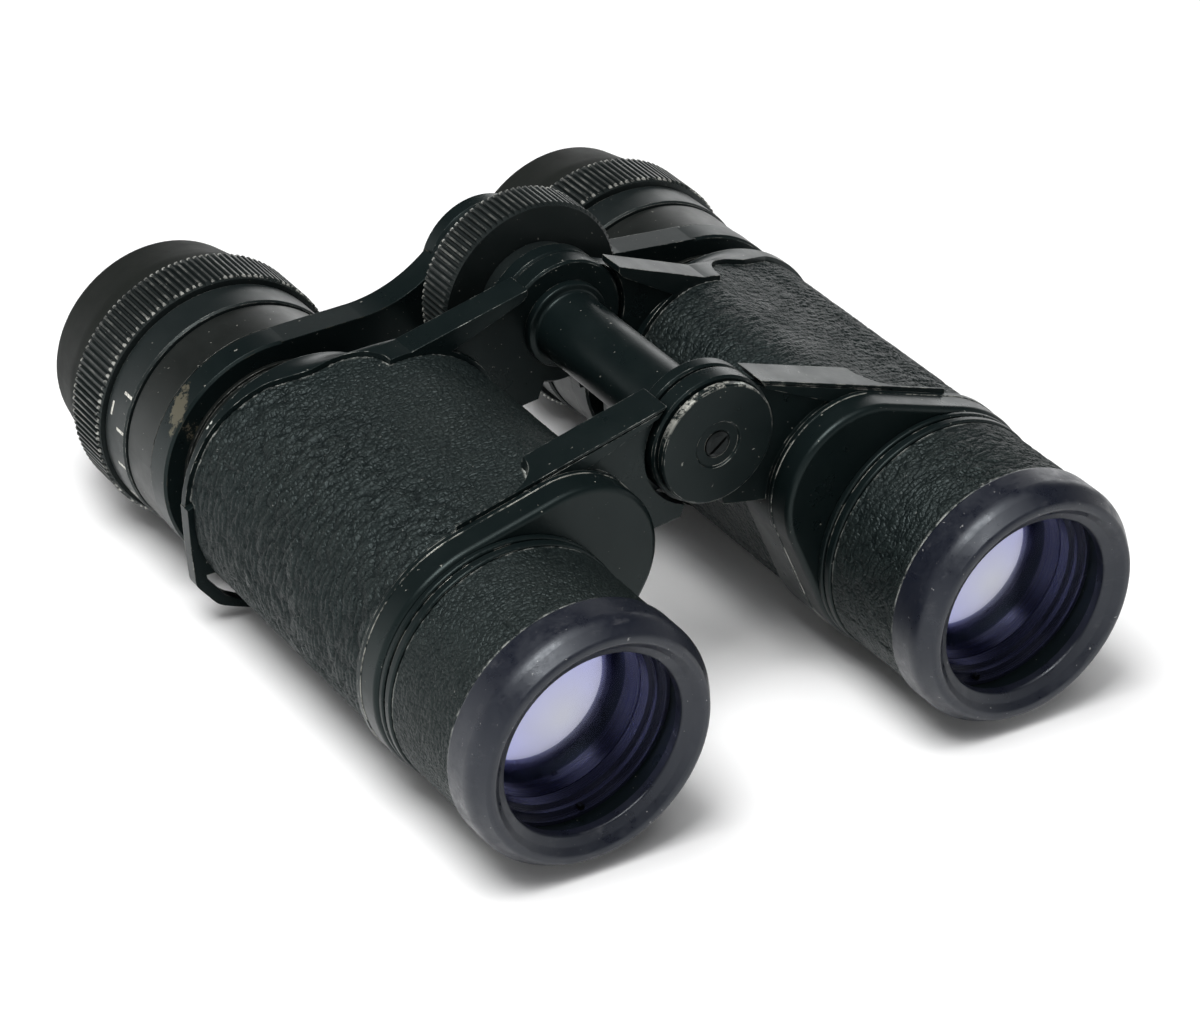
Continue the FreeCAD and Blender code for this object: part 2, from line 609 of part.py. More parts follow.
def bridge_arm(hub_front, hub_rear):
    """Flat bar from the eyepiece ring to the spindle, half its thickness at the hub."""
    top_start = FreeCAD.Vector(BARREL_X, 0, BARREL_Z + BRIDGE_RING_RADIUS - 0.05)
    flat_end = FreeCAD.Vector(21.6, 0, HINGE_Z - 2.6)
    curve_mid = FreeCAD.Vector(12.6, 0, HINGE_Z + 0.4)
    hub_top = FreeCAD.Vector(6.1, 0, HINGE_Z + 6.9)
    hub_low = FreeCAD.Vector(4.6, 0, HINGE_Z - 8.0)
    low_mid = FreeCAD.Vector(12.5, 0, HINGE_Z - 9.6)
    ring_low = FreeCAD.Vector(21.5, 0, HINGE_Z - 14.5)
    edges = [Part.makeLine(top_start, flat_end), Part.Arc(flat_end, curve_mid, hub_top).toShape()]
    edges += [Part.makeLine(hub_top, hub_low), Part.Arc(hub_low, low_mid, ring_low).toShape()]
    edges += [Part.makeLine(ring_low, top_start)]
    bar = Part.Face(Part.Wire(edges)).extrude(FreeCAD.Vector(0, BRIDGE_REAR - BRIDGE_FRONT, 0))
    bar.translate(FreeCAD.Vector(0, at(BRIDGE_FRONT), 0))
    room = BRIDGE_HUB_RADIUS + 0.35
    clearance = rod(BRIDGE_FRONT - 1, BRIDGE_HUB_REAR + 1, room).cut(rod(hub_front, hub_rear, room + 1))
    eyepiece_ring = ring(BRIDGE_FRONT, BRIDGE_REAR, BRIDGE_RING_RADIUS, 3.0, bevel=0.35)
    bar = bar.cut(clearance).fuse(eyepiece_ring)
    bar = bar.fuse(ring(hub_front, hub_rear, BRIDGE_HUB_RADIUS, 0.5, 0.0, HINGE_Z, 0.35))
    bores = [rod(BRIDGE_FRONT - 1, BRIDGE_HUB_REAR + 1, SPINDLE_RADIUS + SLIDE_FIT)]
    bores.append(rod(BRIDGE_FRONT - 1, BRIDGE_REAR + 1, BRIDGE_BORE_RADIUS, BARREL_X, BARREL_Z))
    return bar.cut(bores)


def hinge_tube():
    """Tube between the inner lugs, with a collar at the rear lug."""
    bore = AXLE_RADIUS + SLIDE_FIT
    profile = [(FRONT_LUG_REAR, bore), (FRONT_LUG_REAR, TUBE_RADIUS), (63.9, TUBE_RADIUS, 0.5)]
    profile += [(64.1, 6.4, 0.3), (REAR_LUG, 6.4), (REAR_LUG, bore)]
    return turned(profile, 0.0, HINGE_Z)


def hinge_disc():
    """Round cap in front of the hinge with a shallow dish for its screw."""
    profile = [(27.8, 1.25), (27.8, 2.0), (27.5, 2.0), (27.5, 3.3), (DISC_FRONT, 3.5)]
    profile += [(DISC_FRONT, DISC_RADIUS - 0.25), (DISC_FRONT + 0.2, DISC_RADIUS)]
    profile += [(WASHER_FRONT, DISC_RADIUS), (WASHER_FRONT, 1.25)]
    return turned(profile, 0.0, HINGE_Z)


def hinge_screw():
    """Slotted screw that holds the disc on the axle."""
    head = [(27.05, 0), (27.05, 1.4), (27.35, 1.85), (27.8, 1.85), (27.8, 1.2), (35.0, 1.2), (35.0, 0)]
    slot = Part.makeBox(5.0, 0.5, 0.5, FreeCAD.Vector(-2.5, at(26.85), HINGE_Z - 0.25))
    slot.rotate(FreeCAD.Vector(0, 0, HINGE_Z), FreeCAD.Vector(0, 1, 0), -40)
    return turned(head, 0.0, HINGE_Z).cut(slot)


def hinge_axle():
    """Steel axle through the lugs, tapped in front for the disc screw."""
    axle = rod(FRONT_LUG, 58.0, AXLE_RADIUS)
    return axle.cut(rod(FRONT_LUG - 1, 35.2, 1.25))


def focus_wheel():
    """Knurled wheel with a plain bevelled face and a front hub against the rear lug."""
    z = HINGE_Z
    tyre = knurled_ring(WHEEL_FRONT, WHEEL_REAR, WHEEL_RADIUS, SPINDLE_RADIUS, WHEEL_TEETH, 0.0, z)
    hub = ring(REAR_LUG_REAR + LUG_GAP, WHEEL_FRONT + 0.1, WHEEL_HUB_RADIUS, SPINDLE_RADIUS, 0.0, z)
    floor = WHEEL_REAR - 0.8
    dish = turned([(floor, 5.5), (WHEEL_REAR + 1, 5.5), (WHEEL_REAR + 1, 12.6), (floor, 12.2)], 0.0, z)
    bore = rod(REAR_LUG_REAR - 1, WHEEL_REAR + 1, SPINDLE_RADIUS + SLIDE_FIT)
    return tyre.fuse(hub).cut([dish, bore])


def focus_spindle():
    """Threaded spindle that carries the bridge in and out of the hinge."""
    return rod(61.0, BRIDGE_HUB_REAR, SPINDLE_RADIUS)


def bridge_cap():
    """Domed nut that closes the rear of the spindle."""
    profile = [(BRIDGE_HUB_REAR, 0), (BRIDGE_HUB_REAR, 6.6), (90.1, 6.0, 1.0), (90.6, 0)]
    return turned(profile, 0.0, HINGE_Z)


def mirrored(shape):
    """The same piece on the other barrel."""
    return shape.mirror(FreeCAD.Vector(0, 0, 0), FreeCAD.Vector(1, 0, 0))


def save(name, shape):
    """Write one piece, as a single clean solid where it is one."""
    shape = shape.removeSplitter()
    solids = shape.Solids
    if len(solids) == 1:
        shape = solids[0]
    shape.exportStep("parts/" + name + ".step")
    print("%-28s solids %d valid %s volume %.2f" % (name, len(solids), shape.isValid(), shape.Volume))


def paired_pieces():
    """Pieces that both barrels have alike, built on the +X side."""
    lens_rim = LENS_RADIUS - 0.03
    ocular_rim = OCULAR_BORE - 0.05
    return {
        "body_leather": body_leather(),
        "strap_lug": strap_lug(),
        "front_cover": front_cover(),
        "objective_tube": objective_tube(),
        "tube_leather": tube_leather(),
        "bumper_ring": bumper(),
        "objective_cell": objective_cell(),
        "objective_retainer": objective_retainer(),
        "front_lens": lens(LENS_STATION + 0.12, 13.0, lens_rim, 1.5, 1.5),
        "second_lens": lens(15.0, 16.45, lens_rim, -1.55, 0.4),
        "half_penta_prism": half_penta_prism(),
        "roof_prism": roof_prism(),
        "prism_cage": prism_cage(),
        "rear_cover": rear_cover(),
        "eyepiece_tube": eyepiece_tube(),
        "eyecup": eyecup(),
        "ocular_cell": ocular_cell(),
        "field_lens": lens(90.2, 92.4, ocular_rim, 0.5, 2.0),
        "eye_lens": lens(104.9, 107.05, ocular_rim, 1.8, 0.5),
        "retainer_screw": retainer_screw(),
    }


def main():
    os.makedirs("parts", exist_ok=True)
    for name, shape in paired_pieces().items():
        save("left_" + name, shape)
        save("right_" + name, mirrored(shape))
    turning_fit = NECK_RADIUS + SLIDE_FIT
    for name, build in (("scale_ring", scale_ring), ("knurled_ring", knurled_grip)):
        save("right_" + name, mirrored(build(turning_fit)))
        save("left_" + name, build(NECK_RADIUS))
    save("left_body_casting", body_casting(left_hinge_metal()))
    save("right_body_casting", mirrored(body_casting(right_hinge_metal())))
    save("right_bridge_arm", mirrored(bridge_arm(BRIDGE_FRONT, BRIDGE_SPLIT - LUG_GAP / 2)))
    save("left_bridge_arm", bridge_arm(BRIDGE_SPLIT + LUG_GAP / 2, BRIDGE_HUB_REAR))
    save("hinge_tube", hinge_tube())
    save("hinge_disc", hinge_disc())
    save("hinge_washer", ring(WASHER_FRONT, FRONT_LUG - LUG_GAP, WASHER_RADIUS, 1.25, 0.0, HINGE_Z, 0.2))
    save("hinge_screw", hinge_screw())
    save("hinge_axle", hinge_axle())
    save("focus_wheel", focus_wheel())
    save("focus_spindle", focus_spindle())
    save("bridge_cap", bridge_cap())


main()
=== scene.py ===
import math

import bmesh
import bpy
import numpy as np
from mathutils import Matrix, Vector
from mathutils.kdtree import KDTree


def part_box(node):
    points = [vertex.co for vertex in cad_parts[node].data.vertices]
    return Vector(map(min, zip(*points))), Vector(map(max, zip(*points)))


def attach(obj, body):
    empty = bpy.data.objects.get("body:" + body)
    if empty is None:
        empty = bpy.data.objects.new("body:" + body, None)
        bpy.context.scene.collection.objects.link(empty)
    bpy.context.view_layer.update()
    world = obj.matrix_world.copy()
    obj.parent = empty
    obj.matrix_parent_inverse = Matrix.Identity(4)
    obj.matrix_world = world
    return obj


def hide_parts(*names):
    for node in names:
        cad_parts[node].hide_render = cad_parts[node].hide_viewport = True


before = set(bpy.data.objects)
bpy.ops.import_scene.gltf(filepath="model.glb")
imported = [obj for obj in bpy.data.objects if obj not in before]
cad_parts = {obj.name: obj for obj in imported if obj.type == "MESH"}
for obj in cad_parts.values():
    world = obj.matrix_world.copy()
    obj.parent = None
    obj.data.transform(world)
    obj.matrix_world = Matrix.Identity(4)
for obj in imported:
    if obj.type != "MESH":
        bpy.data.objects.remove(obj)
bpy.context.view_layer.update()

MM = 0.001

# ---- view ----
AZIMUTH = math.radians(-34.94)
ELEVATION = math.radians(31.04)
ROLL = math.radians(3.83)
TARGET = Vector((-0.01073, -0.02239, 0.02708))
DISTANCE = 0.5357
LENS_MM = 119.63

# ---- rear rim of the housings ----
RIM_RADIUS = 18.6 * MM
RIM_REAR = 16.8 * MM

# ---- leather grain ----
GRAIN_LENGTH = 1.9 * MM
GRAIN_WIDTH = 0.85 * MM
LEATHER_VOXEL = 0.25 * MM
HOUSING_ACROSS = 11.58 * MM         # inward from a barrel's axis to its housing's second centre
HOUSING_RISE = 9.68 * MM            # and upward
GIRTH_RADIUS = 17.5 * MM            # radius that turns an angle round a housing into a length
SEAM_GAP = 0.2 * MM

# ---- colours that several finishes share ----
DUST = (0.2, 0.2, 0.18)
GREEN_GLOSS = (0.82, 1.0, 0.98)
RING_GLOSS = (0.9, 1.0, 0.98)


def middle(node):
    """Centre of a CAD node's box."""
    low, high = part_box(node)
    return (low + high) / 2


AXES = {side: middle(side + "_objective_tube") for side in ("left", "right")}
HINGE = middle("hinge_disc")
OUTWARD = {"left": 1, "right": -1}


# ---------------------------------------------------------------- materials

class Look:
    """A procedural material: one Principled surface and the nodes that feed it."""

    def __init__(self, name, **sockets):
        self.material = bpy.data.materials.new(name)
        self.material.use_nodes = True
        self.tree = self.material.node_tree
        self.surface = self.tree.nodes["Principled BSDF"]
        self.place = self.tree.nodes.new("ShaderNodeTexCoord").outputs["Object"]
        self.normal = None
        self.drive(**sockets)

    def feed(self, socket, value):
        """Links a node's output to a socket, or sets the socket to a constant."""
        if isinstance(value, bpy.types.NodeSocket):
            self.tree.links.new(value, socket)
        elif socket.type == "RGBA":
            socket.default_value = (*value, 1.0)
        else:
            socket.default_value = value

    def drive(self, **sockets):
        """Feeds sockets of the surface, named with _ for each space."""
        for socket, value in sockets.items():
            self.feed(self.surface.inputs[socket.replace("_", " ")], value)

    def add(self, kind, *values, **options):
        """New node with its options set and its first inputs fed in order."""
        node = self.tree.nodes.new("ShaderNode" + kind)
        for key, value in options.items():
            setattr(node, key, value)
        for socket, value in zip(node.inputs, values):
            self.feed(socket, value)
        return node

    def math(self, operation, a, b=0.0, clamp=False):
        return self.add("Math", a, b, operation=operation, use_clamp=clamp).outputs[0]

    def spread(self, value, low, high, to_low=0.0, to_high=1.0):
        """Value mapped from low..high to to_low..to_high, held at the ends."""
        return self.add("MapRange", value, low, high, to_low, to_high).outputs[0]

    def stretch(self, factors):
        """The place on the object with each axis scaled by its own factor."""
        node = self.add("VectorMath", self.place, operation="MULTIPLY")
        node.inputs[1].default_value = factors
        return node.outputs[0]

    def noise(self, scale, detail=3.0, roughness=0.5, vector=None):
        node = self.add("TexNoise")
        self.feed(node.inputs["Vector"], vector or self.place)
        node.inputs["Scale"].default_value = scale
        node.inputs["Detail"].default_value = detail
        node.inputs["Roughness"].default_value = roughness
        return node.outputs["Fac"]

    def cells(self, scale):
        """Distance to the nearest edge between irregular cells."""
        node = self.add("TexVoronoi", feature="DISTANCE_TO_EDGE")
        self.feed(node.inputs["Vector"], self.place)
        node.inputs["Scale"].default_value = scale
        return node.outputs[0]

    def mix(self, share, a, b):
        """Colour a where share is 0 and b where it is 1; sockets 6 and 7 are the node's colours."""
        node = self.add("Mix", data_type="RGBA")
        self.feed(node.inputs[0], share)
        self.feed(node.inputs[6], a)
        self.feed(node.inputs[7], b)
        return node.outputs[2]

    def blend_values(self, share, a, b):
        """Number a where share is 0 and b where it is 1; sockets 2 and 3 are the node's numbers."""
        node = self.add("Mix", data_type="FLOAT")
        self.feed(node.inputs[0], share)
        self.feed(node.inputs[2], a)
        self.feed(node.inputs[3], b)
        return node.outputs[0]

    def bump(self, height, depth, strength=1.0):
        """Adds a relief of the given depth in metres to the surface normal."""
        node = self.add("Bump")
        node.inputs["Strength"].default_value = strength
        node.inputs["Distance"].default_value = depth
        self.feed(node.inputs["Height"], height)
        if self.normal is not None:
            self.feed(node.inputs["Normal"], self.normal)
        self.normal = node.outputs[0]
        self.feed(self.surface.inputs["Normal"], self.normal)

    def round_edges(self, radius):
        """Softens the normals at sharp edges; returns a mask that is 1 on the edges."""
        bevel = self.add("Bevel", samples=6)
        bevel.inputs["Radius"].default_value = radius
        self.normal = bevel.outputs[0]
        self.feed(self.surface.inputs["Normal"], self.normal)
        flat = self.add("NewGeometry").outputs["Normal"]
        alike = self.add("VectorMath", bevel.outputs[0], flat, operation="DOT_PRODUCT")
        return self.spread(alike.outputs["Value"], 0.995, 0.9)

    def radius_from(self, axis):
        """Distance from the Y line through a point."""
        split = self.add("SeparateXYZ", self.place)
        dx = self.math("SUBTRACT", split.outputs[0], axis.x)
        dz = self.math("SUBTRACT", split.outputs[2], axis.z)
        square = self.math("ADD", self.math("MULTIPLY", dx, dx), self.math("MULTIPLY", dz, dz))
        return self.math("SQRT", square)


def enamel(name, edge=1.0, scrape=None, metal=(0.42, 0.42, 0.38), sound=0.5):
    """Baked black enamel, faintly green, rubbed bright on its edges and peppered with dust.

    A lower sound wears more of each edge, and scrape adds a mask of its own.
    """
    look = Look(name, Specular_IOR_Level=0.2, Specular_Tint=GREEN_GLOSS)
    edges = look.round_edges(0.14 * MM)
    patches = look.noise(420, 4, 0.65)
    patches = look.spread(patches, sound, sound + 0.12)
    wear = look.math("MULTIPLY", edges, patches, clamp=True)
    wear = look.math("MULTIPLY", wear, edge, clamp=True)
    if scrape:
        wear = look.math("MAXIMUM", wear, scrape(look))
    specks = look.spread(look.noise(1500, 2, 0.5), 0.735, 0.755)
    cloud = look.noise(60, 4, 0.6)
    black = look.mix(cloud, (0.002, 0.0045, 0.0048), (0.0055, 0.009, 0.0092))
    dusty = look.mix(specks, black, DUST)
    colour = look.mix(wear, dusty, metal)
    rough = look.spread(look.noise(150, 5, 0.65), 0.3, 0.7, 0.25, 0.4)
    look.drive(Base_Color=colour, Roughness=look.blend_values(wear, rough, 0.42))
    look.drive(Metallic=look.math("MULTIPLY", wear, 0.5))
    look.bump(look.noise(1500, 3, 0.55), 0.005 * MM)
    look.bump(look.noise(260, 3, 0.5), 0.014 * MM)
    return look.material


def ring_scrape(look):
    """Mask of the rubbed patch on the outer side of the right eyepiece's bridge ring."""
    axis = AXES["right"]
    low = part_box("right_bridge_arm")[0]
    split = look.add("SeparateXYZ", look.place)
    across = look.math("SUBTRACT", split.outputs[0], axis.x)
    rise = look.math("SUBTRACT", split.outputs[2], axis.z)
    angle = look.math("ARCTAN2", rise, across)
    off_angle = look.math("DIVIDE", look.math("SUBTRACT", angle, 2.52), 0.2)
    station = look.math("SUBTRACT", split.outputs[1], low.y + 2.2 * MM)
    slant = look.math("MULTIPLY", off_angle, 0.6)
    off_station = look.math("ADD", look.math("DIVIDE", station, 1.6 * MM), slant)
    ragged = look.math("MULTIPLY", look.math("SUBTRACT", look.noise(330, 6, 0.75), 0.5), 5.5)
    angle_part = look.math("POWER", off_angle, 2.0)
    station_part = look.math("POWER", off_station, 2.0)
    spread = look.math("ADD", angle_part, station_part)
    return look.spread(look.math("ADD", spread, ragged), 1.0, 0.8)


def rim_chips(look):
    """Mask of two small chips on the rear corner of the right housing's rim."""
    axis = AXES["right"]
    ragged = look.math("MULTIPLY", look.noise(1800, 3, 0.6), 0.3 * MM)
    mask = 0.0
    for angle in (math.radians(139.7), math.radians(142.3)):
        across, rise = RIM_RADIUS * math.cos(angle), RIM_RADIUS * math.sin(angle)
        reach = look.add("VectorMath", look.place, operation="DISTANCE")
        reach.inputs[1].default_value = (axis.x + across, RIM_REAR, axis.z + rise)
        chip = look.spread(look.math("ADD", reach.outputs["Value"], ragged), 0.5 * MM, 0.4 * MM)
        mask = look.math("MAXIMUM", chip, mask)
    return mask


def rim_scrape(look):
    """Mask of the bright scrapes along the upper rim of the hinge disc and round its screw."""
    split = look.add("SeparateXYZ", look.place)
    reach = look.radius_from(HINGE)
    low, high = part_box("hinge_disc")
    radius = (high.z - low.z) / 2
    rise = look.math("DIVIDE", look.math("SUBTRACT", split.outputs[2], HINGE.z), radius)
    upper = look.spread(rise, 0.2, 0.75)
    rim = look.spread(reach, radius - 0.35 * MM, radius - 0.05 * MM)
    patches = look.spread(look.noise(620, 5, 0.75), 0.47, 0.56)
    worn = look.math("MULTIPLY", look.math("MULTIPLY", rim, upper), patches)
    nicks = look.spread(look.noise(1, 3, 0.6, look.stretch((300, 600, 900))), 0.72, 0.74)
    return look.math("MAXIMUM", worn, nicks)


def anodised(name, base=(0.005, 0.0072, 0.0074), edge=1.0):
    """Black anodised metal of the turned rings, grey where the edges have rubbed."""
    look = Look(name, Specular_IOR_Level=0.32, Specular_Tint=RING_GLOSS)
    edges = look.round_edges(0.1 * MM)
    patches = look.spread(look.noise(700, 4, 0.7), 0.42, 0.62)
    wear = look.math("MULTIPLY", edges, patches, clamp=True)
    finish_ring(look, look.math("MULTIPLY", wear, edge), base)
    return look.material


def finish_ring(look, wear, base):
    """Colour, gloss and relief shared by the turned rings."""
    cloud = look.noise(90, 4, 0.6)
    dark = look.mix(cloud, base, tuple(1.7 * c for c in base))
    specks = look.spread(look.noise(1900, 2, 0.5), 0.74, 0.76)
    dark = look.mix(specks, dark, DUST)
    look.drive(Base_Color=look.mix(wear, dark, (0.4, 0.4, 0.37)))
    rough = look.spread(look.noise(200, 5, 0.6), 0.3, 0.7, 0.3, 0.46)
    look.drive(Roughness=rough, Metallic=look.math("MULTIPLY", wear, 0.5))
    look.bump(look.noise(2400, 2, 0.5), 0.003 * MM)


def knurling(name, node, axis):
    """Anodised knurling whose tooth tips are rubbed grey, most of all at both ends."""
    look = Look(name, Specular_IOR_Level=0.32, Specular_Tint=RING_GLOSS)
    low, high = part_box(node)
    radius = (high.z - low.z) / 2
    station = look.add("SeparateXYZ", look.place).outputs[1]
    from_front = look.math("SUBTRACT", station, low.y)
    from_rear = look.math("SUBTRACT", high.y, station)
    ends = look.math("MINIMUM", from_front, from_rear)
    at_end = look.spread(ends, 0.75 * MM, 0.55 * MM)
    not_face = look.spread(ends, 0.12 * MM, 0.25 * MM)
    tip = look.spread(look.radius_from(axis), radius - 0.34 * MM, radius - 0.22 * MM)
    rubbed = look.spread(look.noise(520, 4, 0.7), 0.44, 0.56)
    rim = look.math("MULTIPLY", at_end, not_face)
    bright = look.math("MULTIPLY", rim, look.math("MULTIPLY", tip, rubbed))
    crest = look.spread(look.radius_from(axis), radius - 0.08 * MM, radius)
    worn = look.spread(look.noise(300, 5, 0.7), 0.5, 0.7, 0.04, 0.3)
    thin = look.math("MULTIPLY", crest, worn)
    finish_ring(look, look.math("MAXIMUM", bright, thin), (0.005, 0.0068, 0.0068))
    return look.material


def leather(name):
    """Black grained leather: painted shade darkens its creases and pores, so the tops look greyer;
    greyer also along its cut edge.
    """
    look = Look(name, Specular_IOR_Level=0.26, Specular_Tint=(0.84, 1.0, 1.0))
    height = look.add("Attribute", attribute_name="grain").outputs["Fac"]
    rim = look.add("Attribute", attribute_name="rim").outputs["Fac"]
    cloud = look.noise(70, 4, 0.6)
    low = look.mix(cloud, (0.0015, 0.0032, 0.0035), (0.003, 0.005, 0.005))
    top = look.mix(cloud, (0.006, 0.0108, 0.0112), (0.0125, 0.015, 0.0135))
    # Painted shade: the colour is darker where the grain is low, in the creases
    colour = look.mix(look.spread(height, 0.15, 0.75), low, top)
    pores = look.cells(1450)
    # Painted shade in the pores: the colour is darker along the edges of the cells
    colour = look.mix(look.spread(pores, 0.02, 0.12, 0.55, 0.0), colour, (0.002, 0.004, 0.0045))
    specks = look.spread(look.noise(2100, 2, 0.5), 0.745, 0.77)
    colour = look.mix(specks, colour, (0.16, 0.16, 0.15))
    frayed = look.math("MULTIPLY", rim, look.spread(look.noise(430, 4, 0.7), 0.46, 0.6))
    colour = look.mix(frayed, colour, (0.3, 0.31, 0.29))
    rough = look.spread(look.noise(180, 4, 0.6), 0.3, 0.7, 0.4, 0.56)
    look.drive(Base_Color=colour, Roughness=rough)
    look.bump(look.spread(pores, 0.0, 0.25), 0.07 * MM)
    look.bump(look.cells(3300), 0.02 * MM, 0.7)
    look.bump(look.noise(1100, 4, 0.65), 0.05 * MM, 0.8)
    return look.material


def bumper_rubber():
    """Smooth hard rubber with a bluish bloom, scuffed where it takes the knocks."""
    look = Look("bumper_rubber", Specular_IOR_Level=0.5, Specular_Tint=(0.9, 0.95, 1.0))
    cloud = look.noise(80, 5, 0.65)
    base = look.mix(cloud, (0.0045, 0.006, 0.0115), (0.0105, 0.012, 0.019))
    scuff = look.spread(look.noise(1, 5, 0.72, look.stretch((260, 420, 520))), 0.58, 0.7)
    specks = look.spread(look.noise(1500, 2, 0.5), 0.735, 0.755)
    base = look.mix(look.math("MULTIPLY", scuff, 0.3), base, (0.06, 0.06, 0.066))
    base = look.mix(specks, base, (0.2, 0.2, 0.2))
    rough = look.spread(look.noise(380, 7, 0.75), 0.35, 0.65, 0.24, 0.5)
    look.drive(Base_Color=base, Roughness=look.blend_values(scuff, rough, 0.5))
    look.bump(look.noise(700, 5, 0.65), 0.014 * MM)
    look.bump(scuff, 0.016 * MM, 0.6)
    return look.material


def eyecup_plastic():
    """Matte moulded plastic, brown-grey where it is handled."""
    look = Look("eyecup_plastic", Specular_IOR_Level=0.17, Specular_Tint=(0.9, 1.0, 0.95))
    cloud = look.noise(60, 5, 0.6)
    base = look.mix(cloud, (0.004, 0.005, 0.0045), (0.009, 0.0098, 0.0085))
    look.drive(Base_Color=base)
    look.drive(Roughness=look.spread(look.noise(160, 5, 0.6), 0.3, 0.7, 0.56, 0.7))
    look.bump(look.noise(1800, 4, 0.6), 0.008 * MM)
    return look.material


def coated_lens(name, axis, radius, film, clear):
    """Coated lens: a sharp reflection over a soft one, violet outside and painted pale in the middle as
    a painted reflection.
    """
    look = Look(name, Metallic=1.0, Coat_Weight=1.0, Coat_IOR=2.5, Coat_Roughness=0.03)
    haze = look.noise(260, 5, 0.6)
    reach = look.math("DIVIDE", look.radius_from(axis), radius)
    # Painted reflection: the colour turns from the violet film outside to the pale clear colour in the
    # middle
    painted_reflection = look.spread(reach, 0.05, 0.85, 1.0, 0.0)
    tone = look.mix(look.spread(haze, 0.3, 0.7), film, tuple(c * 0.8 for c in film))
    look.drive(Base_Color=look.mix(painted_reflection, tone, clear))
    look.drive(Roughness=look.spread(haze, 0.3, 0.7, 0.16, 0.24))
    return look.material


def inner_black():
    """Violet-tinged black of the cells and baffles, with fine turning marks."""
    look = Look("inner_black", Specular_IOR_Level=0.9, Specular_Tint=(0.78, 0.82, 1.0))
    turning = look.noise(1, 2, 0.5, look.stretch((40, 9000, 40)))
    cloud = look.noise(200, 3, 0.5)
    look.drive(Base_Color=look.mix(cloud, (0.008, 0.009, 0.02), (0.016, 0.018, 0.036)))
    look.drive(Roughness=look.spread(turning, 0.3, 0.7, 0.2, 0.34))
    look.bump(turning, 0.003 * MM)
    return look.material


def steel(name, colour, roughness):
    """Turned steel: fine scratches, darker in patches."""
    look = Look(name, Metallic=0.9)
    scratches = look.noise(1, 3, 0.6, look.stretch((300, 5200, 300)))
    dark = tuple(c * 0.55 for c in colour)
    look.drive(Base_Color=look.mix(look.spread(look.noise(300, 4, 0.6), 0.35, 0.7), dark, colour))
    look.drive(Roughness=look.spread(scratches, 0.3, 0.7, roughness - 0.08, roughness + 0.12))
    look.bump(scratches, 0.003 * MM)
    return look.material


def prism_glass():
    """Polished prism glass, faintly green, with bloom on its ground sides."""
    look = Look("prism_glass", Transmission_Weight=0.9, IOR=1.57, Roughness=0.02)
    bloom = look.noise(300, 4, 0.6)
    look.drive(Base_Color=look.mix(bloom, (0.86, 0.93, 0.9), (0.95, 0.98, 0.96)))
    look.drive(Roughness=look.spread(bloom, 0.4, 0.8, 0.01, 0.08))
    return look.material


def white_paint():
    """Thick white filling of the engraved marks, yellowed and a little chipped."""
    look = Look("mark_paint")
    chips = look.noise(2400, 3, 0.6)
    look.drive(Base_Color=look.mix(look.spread(chips, 0.5, 0.65), (0.62, 0.61, 0.55), DUST))
    look.drive(Roughness=look.spread(chips, 0.3, 0.7, 0.45, 0.7))
    look.bump(chips, 0.01 * MM)
    return look.material


def floor_paint():
    """Seamless white studio floor with the faintest mottle."""
    look = Look("studio_floor", Specular_IOR_Level=0.2, Roughness=0.7)
    mottle = look.noise(3, 3, 0.5)
    look.drive(Base_Color=look.mix(mottle, (0.95, 0.95, 0.95), (0.97, 0.97, 0.97)))
    return look.material


# ---------------------------------------------------------------- grain

def scatter(i, j, seed):
    """Repeatable value from 0 to 1 for each whole-number place (i, j)."""
    mask = 0xFFFFFFFF
    n = (i.astype(np.int64) * 374761393 + j.astype(np.int64) * 668265263 + seed * 144665) & mask
    n = ((n ^ (n >> 13)) * 1274126177) & mask
    return ((n ^ (n >> 16)) & 0xFFFF) / 65535.0


def smooth(value, low, high):
    """Eased step from 0 at low to 1 at high."""
    t = np.clip((value - low) / (high - low), 0.0, 1.0)
    return t * t * (3 - 2 * t)


def drift(u, v, seed):
    """Smooth noise from -1 to 1, one swell per unit."""
    i, j = np.floor(u), np.floor(v)
    fu, fv = smooth(u - i, 0, 1), smooth(v - j, 0, 1)
    near = scatter(i, j, seed) * (1 - fu) + scatter(i + 1, j, seed) * fu
    far = scatter(i, j + 1, seed) * (1 - fu) + scatter(i + 1, j + 1, seed) * fu
    return (near * (1 - fv) + far * fv) * 2 - 1


def pebbles(u, v, seed):
    """0 in the creases between jittered cells, rising to 1 on their tops."""
    i, j = np.floor(u), np.floor(v)
    first = np.full(u.shape, 9.0)
    second = np.full(u.shape, 9.0)
    for di in (-1, 0, 1):
        for dj in (-1, 0, 1):
            cu = i + di + 0.5 + 0.9 * (scatter(i + di, j + dj, seed) - 0.5)
            cv = j + dj + 0.5 + 0.9 * (scatter(i + di, j + dj, seed + 7) - 0.5)
            reach = np.hypot(cu - u, cv - v)
            second = np.minimum(second, np.maximum(first, reach))
            first = np.minimum(first, reach)
    return smooth(second - first, 0.0, 0.42)


def grain(u, v, seed, coarse):
    """Leather relief from 0 to 1; u runs round the barrel and v along it, in metres."""
    bend_u = u / GRAIN_LENGTH + 0.5 * drift(u / (1.7 * MM), v / (1.3 * MM), seed + 1)
    bend_v = v / GRAIN_WIDTH + 0.6 * drift(u / (2.2 * MM), v / (1.5 * MM), seed + 2)
    bend_v = bend_v + 1.4 * drift(u / (9 * MM), v / (7 * MM), seed + 3)
    creases = pebbles(bend_u * 0.5, bend_v * 0.85, seed + 4)
    small = pebbles(bend_u * 2.2, bend_v * 1.2, seed + 5)
    swell = drift(u / (5 * MM), v / (4 * MM), seed + 6)
    fine_relief = (0.4 + 0.6 * small) * (1 - coarse)
    coarse_relief = coarse * (0.75 * creases + 0.25 * small)
    return fine_relief + coarse_relief + 0.14 * swell


